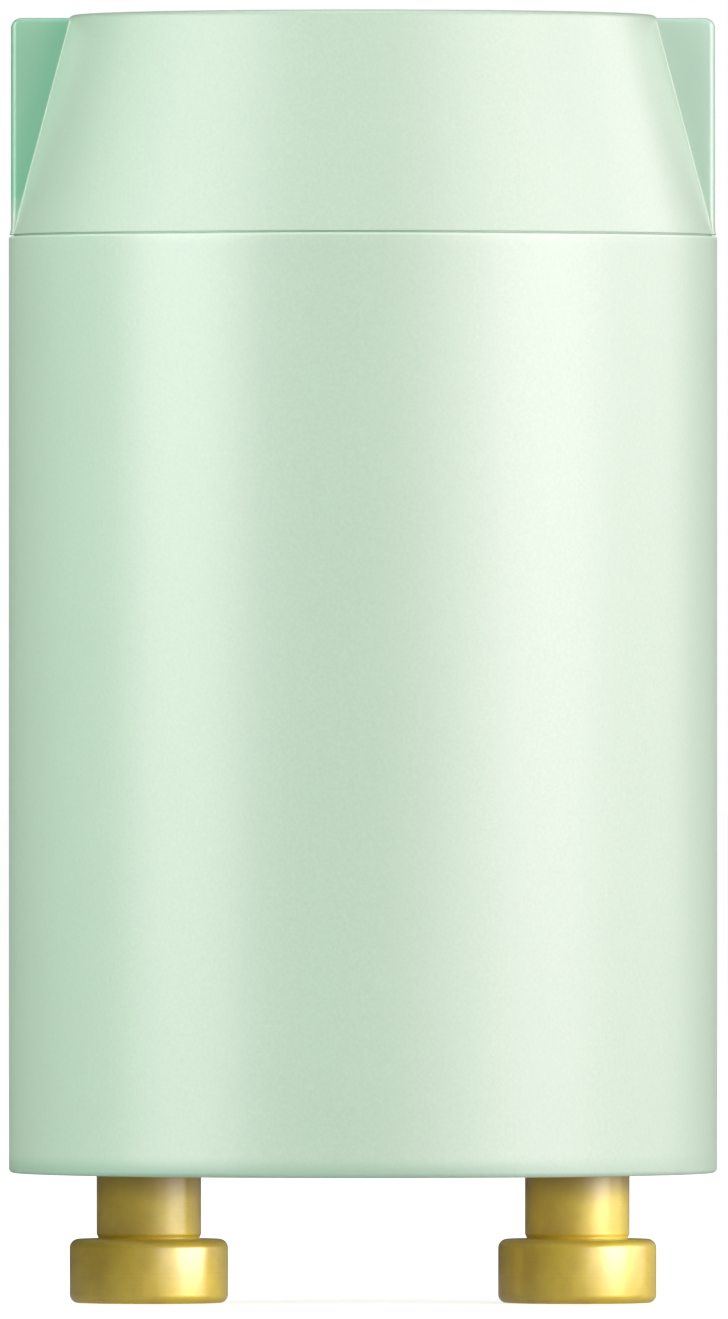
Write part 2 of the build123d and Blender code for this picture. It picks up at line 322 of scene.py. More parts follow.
@dataclass(frozen=True)
class SatinPlastic(Finish):
    """Translucent moulded plastic with the fine grain of a spark-eroded mould.

    A pair of lengths says where something sets in and where it is complete.

    Attributes:
        sheen: Strength of its satin reflection, where 0.5 is plain plastic.
        mottle: Weights of the clouds and of the grain in its tone, and a shift.
        glow: Share of light that goes through the surface layer.
        reach: How far that light travels, and reach_tint each colour's share of it.
        wing_shade_color: Painted shade on the wing on the shaded left side, and root_shade_color
            deeper painted shade along its root.
        lit_color: Colour of the wing on the lit right side, without that painted shade.
        wing_clear: Distance from the crown, and wing_over height over the shoulder, of that colour.
        groove: Height of the painted shadow line in the groove over the shoulder.
        highlight_under: Heights of the painted highlight on the edge right under the groove.
        crown_slope: How much the crown draws in for its height.
        roof_over: Height over the shoulder of the flat roof, which is left rough.
        foot_band: Height of the band of painted shade over the foot.
        foot_side: Distance towards the lit right side at which foot_faded of that painted shade is
            gone.
    """

    grain: float = 0.09 * MM
    depth: float = 0.0006 * MM
    cloud: float = 6.0 * MM
    tones: Point = (0.94, 1.06)
    uneven: float = 0.06
    cloud_uneven: float = 0.03
    sheen: float = 1.0
    ior: float = 1.68
    mottle: tuple[float, float, float] = (0.3, 1.4, -0.35)
    glow: float = 0.12
    reach: float = 1.2 * MM
    reach_tint: Color = (0.5, 1.0, 0.65)
    wing_shade_color: Color = (0.26, 0.585, 0.378)
    root_shade_color: Color = (0.205, 0.575, 0.365)
    lit_color: Color = (0.46, 0.70, 0.535)
    lit_side: Point = (-1.0 * MM, 1.0 * MM)
    wing_clear: Point = (0.005 * MM, 0.07 * MM)
    wing_over: Point = (0.3 * MM, 1.4 * MM)
    root_fade: Point = (0.1 * MM, 1.1 * MM)
    hair: float = 0.004 * MM
    shoulder_z: float = 31.61 * MM
    groove: float = 0.07 * MM
    groove_fade: float = 0.01 * MM
    groove_shade: float = 0.85
    highlight_under: Point = (-0.09 * MM, -0.03 * MM)
    edge_highlight: float = 1.22
    crown_r: float = 10.43 * MM
    crown_slope: float = 0.2642
    roof_r: float = 8.5 * MM
    roof_fade: float = 0.1 * MM
    roof_over: Point = (6.0 * MM, 6.2 * MM)
    roof_rough: float = 0.4
    foot_z: float = 3.87 * MM
    foot_band: float = 0.62 * MM
    foot_shade: Color = (0.70, 0.81, 0.77)
    foot_side: Point = (0.5 * MM, 6.5 * MM)
    foot_faded: float = 0.9

    def surface(self, graph: Graph) -> Value:
        """Pale body colour with grain and faint flow clouds, and painted shade and highlights on
        wings, shoulder and foot.

        Args:
            graph: The tree to add it to.

        Returns:
            The closure.
        """
        place = graph.place()
        x, y, z = graph.axes(place)
        radius = (x * x + y * y).root()
        over = z - self.shoulder_z
        grain = graph.noise(place, self.grain, detail=3.0, roughness=0.55)
        cloud = graph.noise(place, self.cloud)
        clouds, grains, shift = self.mottle
        color = self.toned(graph, cloud * clouds + grain * grains + shift)

        # Painted shade: the left wing is darker and deeper green, darkest along its root; the right
        # wing is lighter.
        clear = radius - self.crown_r + over * self.crown_slope
        wing = clear.between(*self.wing_clear) * over.between(*self.wing_over)
        shaded_wing = graph.blend(clear.between(*self.root_fade), self.root_shade_color, self.wing_shade_color)
        wing_shade = graph.blend(x.between(*self.lit_side), shaded_wing, self.lit_color)
        color = graph.blend(wing, color, wing_shade)

        start = over.between(0.0, self.hair)
        # Painted highlight: a light line on the rounded edge under the groove.
        edge = over.between(*self.highlight_under) - start
        color = graph.blend(edge, color, self.shade(self.edge_highlight))
        # Painted shadow: a dark line in the groove over the shoulder.
        groove = start - over.between(self.groove, self.groove + self.groove_fade)
        color = graph.blend(groove, color, self.shade(self.groove_shade))

        # Painted shade: darker towards the foot, less so on the lit right side.
        foot = tuple(a * b for a, b in zip(self.color, self.foot_shade))
        faded = x.between(*self.foot_side) * self.foot_faded
        color = graph.blend((z - self.foot_z).between(0.0, self.foot_band).most(faded), foot, color)

        inside = 1.0 - radius.between(self.roof_r - self.roof_fade, self.roof_r)
        roof = inside * over.between(*self.roof_over) * self.roof_rough
        uneven = (grain - 0.5) * self.uneven + (cloud - 0.5) * self.cloud_uneven
        rest = {
            "IOR": self.ior,
            "Specular IOR Level": self.sheen,
            "Subsurface Weight": self.glow,
            "Subsurface Radius": self.reach_tint,
            "Subsurface Scale": self.reach,
        }
        return self.skin(graph, color, uneven + roof, grain, rest)


@dataclass(frozen=True)
class MattPlastic(Finish):
    """Plain moulded plastic with a fine even grain."""

    grain: float = 0.12 * MM
    cloud: float = 4.0 * MM
    tones: Point = (0.96, 1.04)
    uneven: float = 0.1

    def surface(self, graph: Graph) -> Value:
        """Even colour, fine grain.

        Args:
            graph: The tree to add it to.

        Returns:
            The closure.
        """
        place = graph.place()
        grain = graph.noise(place, self.grain, detail=3.0)
        color = self.toned(graph, graph.noise(place, self.cloud))
        return self.skin(graph, color, (grain - 0.5) * self.uneven, grain)


@dataclass(frozen=True)
class TurnedBrass(Finish):
    """Bright brass off the lathe, with fine marks round its axis.

    Attributes:
        axis: A point of the piece's own axis.
        bright: Share of the colour where it is bare.
        oxide: Share of the surface that a dull skin covers.
        patina_mix: Weights of the browner patches and of the tool marks in the patina.
        patina_span: Levels of that mix between which it sets in.
        neck_shade_span: Heights between which painted shade darkens the neck towards the disc.
    """

    grain: float = 0.045 * MM
    depth: float = 0.0003 * MM
    cloud: float = 1.1 * MM
    uneven: float = 0.04
    cloud_uneven: float = 0.05
    axis: Vector = Vector((0, 0, 0))
    bright: float = 1.06
    oxide: float = 0.48
    lacquer: float = 1.0
    lacquer_ior: float = 2.1
    lacquer_rough: float = 0.28
    patina: Color = (0.7, 0.48, 0.018)
    patina_mix: Point = (0.85, 0.15)
    patina_span: Point = (0.3, 0.75)
    neck_shade: Color = (0.3, 0.18, 0.01)
    neck_shade_span: Point = (2.9 * MM, 4.1 * MM)
    neck_shade_share: float = 0.85

    def surface(self, graph: Graph) -> Value:
        """Rings by radius on flat ends, by height on round walls.

        Args:
            graph: The tree to add it to.

        Returns:
            The closure.
        """
        place = graph.place(self.axis)
        x, y, z = graph.axes(place)
        rings = graph.streaks((x * x + y * y).root() + z, self.grain)
        stain = graph.noise(place, self.cloud, detail=4.0, roughness=0.6)
        patches, marks = self.patina_mix
        patina = (stain * patches + rings * marks).between(*self.patina_span)
        color = graph.blend(patina, self.shade(self.bright), self.patina)
        # Painted shade: the neck darkens under the canister, towards the disc.
        color = graph.blend(z.between(*self.neck_shade_span) * self.neck_shade_share, color, self.neck_shade)
        uneven = rings * self.uneven + (stain - 0.5) * self.cloud_uneven
        rest = {
            "Metallic": 1.0 - self.oxide,
            "Coat Weight": self.lacquer,
            "Coat IOR": self.lacquer_ior,
            "Coat Roughness": self.lacquer_rough,
        }
        return self.skin(graph, color, uneven, rings, rest)


@dataclass(frozen=True)
class DrawnMetal(Finish):
    """Wire or strip with fine drawing marks along it.

    Attributes:
        lean: How much faster the marks change along Y than along X.
    """

    grain: float = 0.05 * MM
    depth: float = 0.0008 * MM
    cloud: float = 0.8 * MM
    tones: Point = (1.06, 0.78)
    uneven: float = 0.12
    cloud_uneven: float = 0.1
    lean: float = 1.7

    def surface(self, graph: Graph) -> Value:
        """Marks along the height, with a thin uneven tarnish.

        Args:
            graph: The tree to add it to.

        Returns:
            The closure.
        """
        place = graph.place()
        x, y, _ = graph.axes(place)
        lines = graph.streaks(x + y * self.lean, self.grain)
        tarnish = graph.noise(place, self.cloud, detail=3.0)
        uneven = lines * self.uneven + (tarnish - 0.5) * self.cloud_uneven
        return self.skin(graph, self.toned(graph, tarnish), uneven, lines, {"Metallic": 1.0})


@dataclass(frozen=True)
class SolderFinish(Finish):
    """Soft solder that set with a faintly frosted skin."""

    grain: float = 0.25 * MM
    depth: float = 0.01 * MM
    tones: Point = (1.08, 0.85)
    uneven: float = 0.25

    def surface(self, graph: Graph) -> Value:
        """Grainy frost over a metal.

        Args:
            graph: The tree to add it to.

        Returns:
            The closure.
        """
        frost = graph.noise(graph.place(), self.grain, detail=4.0, roughness=0.6)
        uneven = (frost - 0.5) * self.uneven
        return self.skin(graph, self.toned(graph, frost), uneven, frost, {"Metallic": 1.0})


@dataclass(frozen=True)
class BlownGlass(Finish):
    """Clear glass with a skin that is a little wavy."""

    depth: float = 0.01 * MM
    cloud: float = 2.2 * MM
    cloud_uneven: float = 0.02
    ior: float = 1.5

    def surface(self, graph: Graph) -> Value:
        """Faint ripples over clear glass.

        Args:
            graph: The tree to add it to.

        Returns:
            The closure.
        """
        ripple = graph.noise(graph.place(), self.cloud, detail=1.0)
        rest = {"Transmission Weight": 1.0, "IOR": self.ior}
        return self.skin(graph, self.color, ripple * self.cloud_uneven, ripple, rest)


@dataclass(frozen=True)
class DippedLacquer(Finish):
    """Dipped coat, uneven in its tone, under a clear gloss."""

    depth: float = 0.05 * MM
    cloud: float = 2.5 * MM
    tones: Point = (0.8, 1.25)
    cloud_uneven: float = 0.08
    gloss: float = 0.6
    gloss_rough: float = 0.06

    def surface(self, graph: Graph) -> Value:
        """Soft runs in the coat.

        Args:
            graph: The tree to add it to.

        Returns:
            The closure.
        """
        run = graph.noise(graph.place(), self.cloud)
        uneven = (run - 0.5) * self.cloud_uneven
        rest = {"Coat Weight": self.gloss, "Coat Roughness": self.gloss_rough}
        return self.skin(graph, self.toned(graph, run), uneven, run, rest)


# Shapes


@dataclass(frozen=True)
class Corner:
    """A corner of a turned outline.

    Attributes:
        r: Distance from the axis.
        z: Height.
        ease: Radius of the arc that rounds it.
        steps: Straight steps that the arc is drawn with.
    """

    r: float
    z: float
    ease: float = 0.0
    steps: int = 6


def eased(*corners: Corner) -> list[Point]:
    """Outline through corners, with an arc at each corner that has one.

    Args:
        corners: The corners in order.

    Returns:
        Radius and height of each point.
    """
    points: list[Point] = []
    for index, corner in enumerate(corners):
        here = Vector((corner.r, corner.z))
        if not corner.ease:
            points.append((corner.r, corner.z))
            continue
        before = corners[index - 1]
        after = corners[index + 1]
        back = (Vector((before.r, before.z)) - here).normalized()
        ahead = (Vector((after.r, after.z)) - here).normalized()
        half = back.angle(ahead) / 2
        reach = corner.ease / tan(half)
        centre = here + (back + ahead).normalized() * (corner.ease / sin(half))
        start = here + back * reach - centre
        end = here + ahead * reach - centre
        turn = start.angle_signed(end)
        for step in range(corner.steps + 1):
            arm = start.copy()
            arm.rotate(Matrix.Rotation(-turn * step / corner.steps, 2))
            points.append(tuple(centre + arm))
    return points


def turned(points: Sequence[Point], axis: Vector, steps: int) -> Shape:
    """Spin an outline round an upright axis.

    Args:
        points: Radius and height of each point, from the axis round to the axis.
        axis: A point of the axis.
        steps: Steps round the circle.

    Returns:
        The closed shape.
    """
    shape = bmesh.new()
    line = [shape.verts.new((axis.x + r, axis.y, z)) for r, z in points]
    edges = [shape.edges.new(pair) for pair in zip(line, line[1:])]
    bmesh.ops.spin(
        shape, geom=line + edges, cent=axis, axis=(0, 0, 1), dvec=(0, 0, 0),
        angle=2 * pi, steps=steps, use_merge=True, use_duplicate=False,
    )
    bmesh.ops.remove_doubles(shape, verts=shape.verts, dist=1e-7)
    bmesh.ops.recalc_face_normals(shape, faces=shape.faces)
    return shape


def extruded(
    shape: Shape, edges: list[bmesh.types.BMEdge]
) -> tuple[list[bmesh.types.BMVert], list[bmesh.types.BMEdge]]:
    """Grow a band of faces from a loop of edges.

    Args:
        shape: The shape that grows.
        edges: The loop.

    Returns:
        The new vertices and the new loop.
    """
    grown = bmesh.ops.extrude_edge_only(shape, edges=edges)["geom"]
    verts = [item for item in grown if isinstance(item, bmesh.types.BMVert)]
    lines = [item for item in grown if isinstance(item, bmesh.types.BMEdge)]
    return verts, [line for line in lines if len(line.link_faces) == 1]


def placed(shape: Shape, name: str, material: Material) -> Object:
    """Put a shape into the scene.

    Args:
        shape: The shape, which is freed.
        name: Name of the object.
        material: Its material.

    Returns:
        The object.
    """
    mesh = bpy.data.meshes.new(name)
    shape.to_mesh(mesh)
    shape.free()
    mesh.materials.append(material)
    made = bpy.data.objects.new(name, mesh)
    bpy.context.scene.collection.objects.link(made)
    return made


def piece(shape: Shape, name: str, material: Material, node: str) -> Object:
    """Put a piece into the scene that rides with the part and takes the place of a node.

    Args:
        shape: The shape, which is freed.
        name: Name of the piece.
        material: Its material.
        node: Node that it stands for.

    Returns:
        The piece.
    """
    made = placed(shape, name, material)
    made.data.shade_smooth()
    made.data.set_sharp_from_angle(angle=radians(SHARP_EDGE))
    made.modifiers.new("even_normals", "WEIGHTED_NORMAL").keep_sharp = True
    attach(made, ROOT)
    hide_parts(node)
    return made


def spaced(start: float, end: float, steps: int, closed: bool = False) -> list[float]:
    """Values in even steps from a start to an end, which comes only when closed."""
    return [start + (end - start) * step / steps for step in range(steps + closed)]


def polar(r: float, turn: float) -> Point:
    """Point at a radius and an angle."""
    return r * cos(turn), r * sin(turn)


def shifted(point: Point, x: float, y: float) -> Point:
    """Point moved along both axes."""
    return point[0] + x, point[1] + y


def drop_in(rise: float, ease: float) -> float:
    """How far a rounded edge has drawn in at a rise above the foot of its round."""
    rise = min(max(0.0, rise), ease)
    return ease - sqrt(ease**2 - rise**2)


# Canister


@dataclass
class Canister:
    """The moulded cup: barrel, shoulder line, crown with two wings, and the bore inside.

    The mesh is a stack of rings. Each ring has the same columns, so a column runs up the barrel,
    over the crown or a wing and in to the middle of the top.
    """

    wing_half: float = 1.2 * MM
    wing_round: float = 0.13 * MM
    wing_corner: float = 0.28 * MM
    wing_drop: float = 0.1 * MM
    wing_inset: float = 0.062 * MM
    wing_flare: float = 0.3 * MM
    root_round: float = 0.05 * MM
    root_room: float = 0.96
    crown_height: float = 6.57 * MM
    crown_taper: float = 14.8
    crown_round: float = 0.2 * MM
    shoulder_step: float = 0.07 * MM
    shoulder_round: float = 0.045 * MM
    groove_depth: float = 0.16 * MM
    groove_height: float = 0.06 * MM
    groove_round: float = 0.02 * MM
    foot_round: float = 0.14 * MM
    foot_flat: float = 0.3 * MM
    wall: float = 1.1 * MM
    roof: float = 1.2 * MM
    mouth_wall: float = 0.65 * MM
    lip_grip: float = 0.2 * MM
    lip_round: float = 0.12 * MM
    lip_edge: float = 0.04 * MM
    disc_recess: float = 0.4 * MM
    disc_thickness: float = 2.0 * MM
    ledge_round: float = 0.05 * MM
    bore_bend: float = 2.0 * MM
    bore_corner: float = 0.8 * MM
    bore_core: float = 0.5 * MM
    key_width: float = 1.4 * MM
    key_depth: float = 0.9 * MM
    key_sunk: float = 0.1 * MM
    gate_radius: float = 1.3 * MM
    gate_depth: float = 0.2 * MM
    gate_flat: float = 0.2 * MM
    gate_draft: float = 0.06 * MM
    gate_rim: float = 0.05 * MM
    gate_corner: float = 0.08 * MM
    stub_radius: float = 0.5 * MM
    stub_height: float = 0.12 * MM
    stub_foot: float = 0.04 * MM
    stub_rim: float = 0.03 * MM
    stub_core: float = 0.2 * MM
    face_steps: int = 5
    round_steps: int = 6
    side_steps: int = 3
    crown_steps: int = 44
    flare_rings: int = 5
    crown_rings: int = 12
    corner_rings: int = 9
    top_rings: int = 3
    top_turn: float = 3.0

    def __post_init__(self) -> None:
        """Take the outer sizes from the frame."""
        low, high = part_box("canister")
        self.barrel_r = high.x
        self.foot_z = low.z
        self.top_z = high.z
        self.shoulder_z = self.top_z - self.crown_height
        self.crown_foot_r = self.barrel_r - self.shoulder_step
        self.slope = tan(radians(self.crown_taper))
        self.wing_top_z = self.top_z - self.wing_drop
        self.wing_steps = self.face_steps + 2 * self.round_steps + self.side_steps
        self.quarter = self.wing_steps + self.crown_steps
        self.turns = [atan2(y, x) for x, y in self.quarter_outline(self.shoulder_z)]

    def crown_r(self, z: float) -> float:
        """Radius of the crown at a height, with the round at its top.

        Args:
            z: The height.

        Returns:
            The radius.
        """
        lean = radians(self.crown_taper)
        top_r = self.crown_foot_r - self.crown_height * self.slope
        centre_r = top_r - self.crown_round * tan((pi / 2 - lean) / 2)
        rise = z - (self.top_z - self.crown_round)
        if rise > self.crown_round * sin(lean):
            return centre_r + sqrt(max(0.0, self.crown_round**2 - rise**2))
        return self.crown_foot_r - (z - self.shoulder_z) * self.slope

    def wing_r(self, z: float) -> float:
        """Radius of a wing's outer face, which flares at its foot and is rounded at its top.

        Args:
            z: The height.

        Returns:
            The radius.
        """
        rise = min(1.0, (z - self.shoulder_z) / self.wing_flare)
        radius = self.barrel_r - self.wing_inset * (1 - (1 - rise) ** 2)
        return radius - drop_in(z - (self.wing_top_z - self.wing_corner), self.wing_corner)

    def half_width(self, z: float) -> float:
        """Half the thickness of a wing at a height."""
        return self.wing_half - drop_in(z - (self.wing_top_z - self.wing_round), self.wing_round)

    def quarter_outline(self, z: float) -> list[Point]:
        """A quarter of the crown's section, from the middle of a wing to the middle of the crown.

        Args:
            z: Height of the section.

        Returns:
            One more point than a quarter has columns.
        """
        crown_r = self.crown_r(z)
        wing_r = self.wing_r(z)
        half = self.half_width(z)
        room = wing_r - crown_r
        share = min(1.0, self.root_room * room / (self.wing_round + self.root_round))
        edge = self.wing_round * share
        root = self.root_round * share
        edge_x = sqrt((wing_r - edge) ** 2 - (half - edge) ** 2)
        edge_turn = atan2(half - edge, edge_x)
        root_x = sqrt((crown_r + root) ** 2 - (half + root) ** 2)
        root_turn = atan2(half + root, root_x)
        points = [polar(wing_r, turn) for turn in spaced(0.0, edge_turn, self.face_steps)]
        for turn in spaced(edge_turn, pi / 2, self.round_steps):
            points.append(shifted(polar(edge, turn), edge_x, half - edge))
        points += [(x, half) for x in spaced(edge_x, root_x, self.side_steps)]
        for turn in spaced(-pi / 2, root_turn - pi, self.round_steps):
            points.append(shifted(polar(root, turn), root_x, half + root))
        turns = spaced(root_turn, pi / 2, self.crown_steps, True)
        return points + [polar(crown_r, turn) for turn in turns]

    def all_round(self, quarter: Sequence[tuple[float, float, float]]) -> list[Vector]:
        """Mirror a quarter's points to all four.

        Args:
            quarter: Points from the X axis to the Y axis.

        Returns:
            The whole ring.
        """
        ring = []
        for index in range(4 * self.quarter):
            side, step = divmod(index, self.quarter)
            x, y, z = quarter[step if side % 2 == 0 else self.quarter - step]
            ring.append(Vector((x if side in (0, 3) else -x, y if side in (0, 1) else -y, z)))
        return ring

    def circle(self, r: float, z: float) -> list[Vector]:
        """A round ring on the barrel's columns."""
        return self.all_round([(*polar(r, turn), z) for turn in self.turns])

    def section(self, z: float) -> list[Vector]:
        """A ring round the crown and the wings."""
        return self.all_round([(*point, z) for point in self.quarter_outline(z)])

    def crown_heights(self) -> list[float]:
        """Heights of the rings from the crown's foot to the top of the wings.

        Returns:
            The heights, upwards.
        """
        start = self.shoulder_z + self.groove_height
        low = [start + rise for rise in spaced(0.0, self.wing_flare, self.flare_rings, True)]
        rises = spaced(0.0, self.crown_height, self.crown_rings)[1:-1]
        corner_z = self.wing_top_z - self.wing_corner
        turns = spaced(0.0, pi / 2, self.corner_rings, True)
        high = [corner_z + self.wing_corner * sin(turn) for turn in turns]
        return low + [self.shoulder_z + rise for rise in rises] + high

    def crown_edge(self, turn: float) -> Point:
        """Point of the round at the crown's top, at an angle from the level."""
        r = self.crown_r(self.top_z) + self.crown_round * cos(turn)
        return r, self.top_z - self.crown_round * (1 - sin(turn))

    def roof_rings(self) -> list[list[Vector]]:
        """Rings from the edge of the wing tops in to the gate mark in the middle.

        Returns:
            The rings.
        """
        rim = self.quarter_outline(self.wing_top_z)
        wing_turn = atan2(rim[self.wing_steps][1], rim[self.wing_steps][0])
        turns = spaced(0.0, wing_turn, self.wing_steps)
        turns += [atan2(y, x) for x, y in rim[self.wing_steps :]]
        low = asin(1 - self.wing_drop / self.crown_round)
        rings = []
        for step in range(1, self.top_rings + 1):
            up_r, up_z = self.crown_edge(low + radians(self.top_turn) * step)
            quarter = []
            for index, angle in enumerate(turns):
                if index < self.wing_steps:
                    x, y = polar(self.crown_r(self.wing_top_z), angle)
                    share = step / self.top_rings
                    x0, y0 = rim[index]
                    quarter.append((x0 + (x - x0) * share, y0 + (y - y0) * share, self.wing_top_z))
                else:
                    quarter.append((*polar(up_r, angle), up_z))
            rings.append(self.all_round(quarter))
        start = low + radians(self.top_turn) * (self.top_rings + 1)
        bend = spaced(start, pi / 2, self.round_steps, True)
        profile = [self.crown_edge(turn) for turn in bend]
        floor_z = self.top_z - self.gate_depth
        stub_z = floor_z + self.stub_height
        profile += eased(
            Corner(self.crown_r(self.top_z) * MID_RING, self.top_z),
            Corner(self.gate_radius + self.gate_flat, self.top_z),
            Corner(self.gate_radius, self.top_z, self.gate_rim, 3),
            Corner(self.gate_radius - self.gate_draft, floor_z, self.gate_corner, 3),
            Corner(self.stub_radius, floor_z, self.stub_foot, 2),
            Corner(self.stub_radius, stub_z, self.stub_rim, 2),
            Corner(self.stub_core, stub_z),
        )
        for r, z in profile:
            rings.append(self.all_round([(*polar(r, turn), z) for turn in turns]))
        return rings

    def outer_rings(self) -> list[list[Vector]]:
        """Rings from the foot up the outside to the middle of the top.

        Returns:
            The rings.
        """
        groove_r = self.barrel_r - self.groove_depth
        barrel = eased(
            Corner(self.barrel_r - self.foot_flat, self.foot_z),
            Corner(self.barrel_r, self.foot_z, self.foot_round, 5),
            Corner(self.barrel_r, self.foot_z + 0.5 * MM),
            Corner(self.barrel_r, self.shoulder_z - 0.3 * MM),
            Corner(self.barrel_r, self.shoulder_z, self.shoulder_round, 5),
            Corner(groove_r, self.shoulder_z, self.groove_round, 3),
            Corner(groove_r, self.shoulder_z + self.groove_height),
        )
        rings = [self.circle(r, z) for r, z in barrel[1:]]
        rings += [self.section(z) for z in self.crown_heights()]
        return rings + self.roof_rings()

    def inner_rings(self) -> list[list[Vector]]:
        """Rings from the foot up the inside to the middle of the roof.

        Returns:
            The rings.
        """
        seat_r = self.barrel_r - self.mouth_wall
        lip_r = seat_r - self.lip_grip
        bore_r = self.barrel_r - self.wall
        under_z = self.foot_z + self.disc_recess
        ledge_z = under_z + self.disc_thickness
        roof_z = self.top_z - self.roof
        top_r = self.crown_foot_r - (roof_z - self.shoulder_z) * self.slope - self.wall
        bore = eased(
            Corner(seat_r, self.foot_z),
            Corner(lip_r, self.foot_z, self.lip_round, 4),
            Corner(lip_r, under_z, self.lip_edge, 2),
            Corner(seat_r, under_z),
            Corner(seat_r, ledge_z),
            Corner(bore_r, ledge_z, self.ledge_round, 2),
            Corner(bore_r, self.shoulder_z, self.bore_bend, 3),
            Corner(top_r, roof_z, self.bore_corner, 5),
            Corner(self.bore_core, roof_z),
        )
        return [self.circle(r, z) for r, z in bore]

    def build(self) -> Shape:
        """Stack the rings into one closed shell and add the keys.

        Returns:
            The shape.
        """
        shape = bmesh.new()
        column = shape.verts.layers.int.new("column")
        start_ring = self.circle(self.barrel_r - self.foot_flat, self.foot_z)
        made = bmesh.ops.create_circle(
            shape, cap_ends=False, segments=len(start_ring), radius=self.barrel_r
        )
        for index, vert in enumerate(made["verts"]):
            vert[column] = index
            vert.co = start_ring[index]
        start_edges = list(shape.edges)
        for rings in (self.outer_rings(), self.inner_rings()):
            edges = start_edges
            for ring in rings:
                verts, edges = extruded(shape, edges)
                for vert in verts:
                    vert.co = ring[vert[column]]
            bmesh.ops.contextual_create(shape, geom=edges)
        shape.verts.layers.int.remove(column)
        bmesh.ops.remove_doubles(shape, verts=shape.verts, dist=1e-8)
        bmesh.ops.recalc_face_normals(shape, faces=shape.faces)
        self.add_keys(shape)
        return shape

    def add_keys(self, shape: Shape) -> None:
        """Two keys that stop the disc from turning.

        Args:
            shape: The shell that they join.
        """
        depth = self.key_depth + self.key_sunk
        middle_y = self.barrel_r - self.mouth_wall - self.key_depth + depth / 2
        middle_z = self.foot_z + self.disc_recess + self.disc_thickness / 2
        for side in (-1, 1):
            key = bmesh.ops.create_cube(shape, size=1.0)["verts"]
            size = (self.key_width, depth, self.disc_thickness)
            bmesh.ops.scale(shape, verts=key, vec=size)
            bmesh.ops.translate(shape, verts=key, vec=(0, side * middle_y, middle_z))

    def dress(self, finish: Finish) -> Object:
        """Make the piece that stands for the canister, in a finish."""
        material = finish.material()
        return piece(self.build(), "canister_shell", material, "canister")


# Contact pins


@dataclass
class ContactPin:
    """A turned stud with a round head, a neck and a riveted hollow tail."""

    side: Side
    head_height: float = 1.91 * MM
    head_round: float = 0.27 * MM
    neck_r: float = 1.55 * MM
    neck_groove: float = 0.07 * MM
    groove_foot: float = 0.03 * MM
    groove_top: float = 0.08 * MM
    tail_r: float = 1.2 * MM
    tail_bore_r: float = 0.8 * MM
    tail_bore_depth: float = 2.8 * MM
    tail_edge: float = 0.05 * MM
    rivet_r: float = 1.8 * MM
    rivet_height: float = 0.45 * MM
    rivet_round: float = 0.2 * MM
    disc_under_z: float = 4.27 * MM
    steps: int = 96

    def outline(self, head_r: float, top_z: float) -> list[Point]:
        """Half outline, from the axis round to the axis.

        Args:
            head_r: Radius of the head.
            top_z: Height of the rivet's top.

        Returns:
            Radius and height of each point.
        """
        rivet_z = top_z - self.rivet_height
        groove_r = self.neck_r - self.neck_groove
        groove_z = self.head_height + 2 * self.neck_groove
        return eased(
            Corner(0, 0),
            Corner(head_r * MID_RING, 0),
            Corner(head_r, 0, self.head_round, 9),
            Corner(head_r, self.head_height, self.head_round, 9),
            Corner(groove_r, self.head_height, self.groove_foot, 3),
            Corner(self.neck_r, groove_z, self.groove_top, 3),
            Corner(self.neck_r, self.disc_under_z),
            Corner(self.tail_r, self.disc_under_z),
            Corner(self.tail_r, rivet_z),
            Corner(self.rivet_r, rivet_z, self.tail_edge, 3),
            Corner(self.rivet_r, top_z, self.rivet_round, 6),
            Corner(self.tail_bore_r, top_z, self.tail_edge, 3),
            Corner(self.tail_bore_r, top_z - self.tail_bore_depth),
            Corner(0, top_z - self.tail_bore_depth),
        )

    def dress(self, finish: TurnedBrass) -> Object:
        """Make the piece.

        Args:
            finish: Its finish, which is turned round the pin's own axis.

        Returns:
            The piece that stands for the pin.
        """
        node = f"contact_pin_{self.side.value}"
        low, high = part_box(node)
        axis = Vector(((low.x + high.x) / 2, (low.y + high.y) / 2, 0))
        shape = turned(self.outline((high.x - low.x) / 2, high.z), axis, self.steps)
        material = replace(finish, axis=axis).material()
        return piece(shape, f"stud_{self.side.value}", material, node)


# Stage


class Reach(Enum):
    """Which pieces a lamp lights."""

    ALL = "INCLUDE_ALL"
    ONLY = "INCLUDE"
    ALL_BUT = "EXCLUDE"


@dataclass
class SoftLamp:
    """One soft rectangular lamp that stands round the object.

    Attributes:
        azimuth: Where it stands, in degrees; 0 is at the camera and 90 to the right.
        elevation: Its height as an angle.
        spread: How wide it looks from the object, in degrees.
        rise: How tall it looks, in degrees.
        glow: Brightness of its face, where 1 is white.
        reach: Which pieces it lights; the pins have lamps of their own.
        pieces: Names of the pieces that its reach speaks of.
        distance: How far away it stands.
    """

    name: str
    azimuth: float
    elevation: float
    spread: float
    rise: float
    glow: float
    tint: Color
    reach: Reach = Reach.ALL_BUT
    pieces: tuple[str, ...] = PINS
    distance: float = 0.4

    def place(self, centre: Vector) -> None:
        """Put the lamp into the scene.

        Args:
            centre: Point that it faces.
        """
        light = bpy.data.lights.new(self.name, "AREA")
        light.shape = "RECTANGLE"
        light.size = 2 * self.distance * tan(radians(self.spread / 2))
        light.size_y = 2 * self.distance * tan(radians(self.rise / 2))
        light.energy = self.glow * pi * light.size * light.size_y
        light.color = self.tint
        lamp = bpy.data.objects.new(self.name, light)
        around = radians(self.azimuth)
        up = radians(self.elevation)
        arm = Vector((sin(around) * cos(up), -cos(around) * cos(up), sin(up)))
        lamp.location = centre + arm * self.distance
        lamp.rotation_euler = arm.to_track_quat("Z", "Y").to_euler()
        bpy.context.scene.collection.objects.link(lamp)
        if self.reach is not Reach.ALL:
            receivers = bpy.data.collections.new(f"{self.name}_receivers")
            for name in self.pieces:
                receivers.objects.link(bpy.data.objects[name])
            for entry in receivers.collection_objects:
                entry.light_linking.link_state = self.reach.value
            lamp.light_linking.receiver_collection = receivers


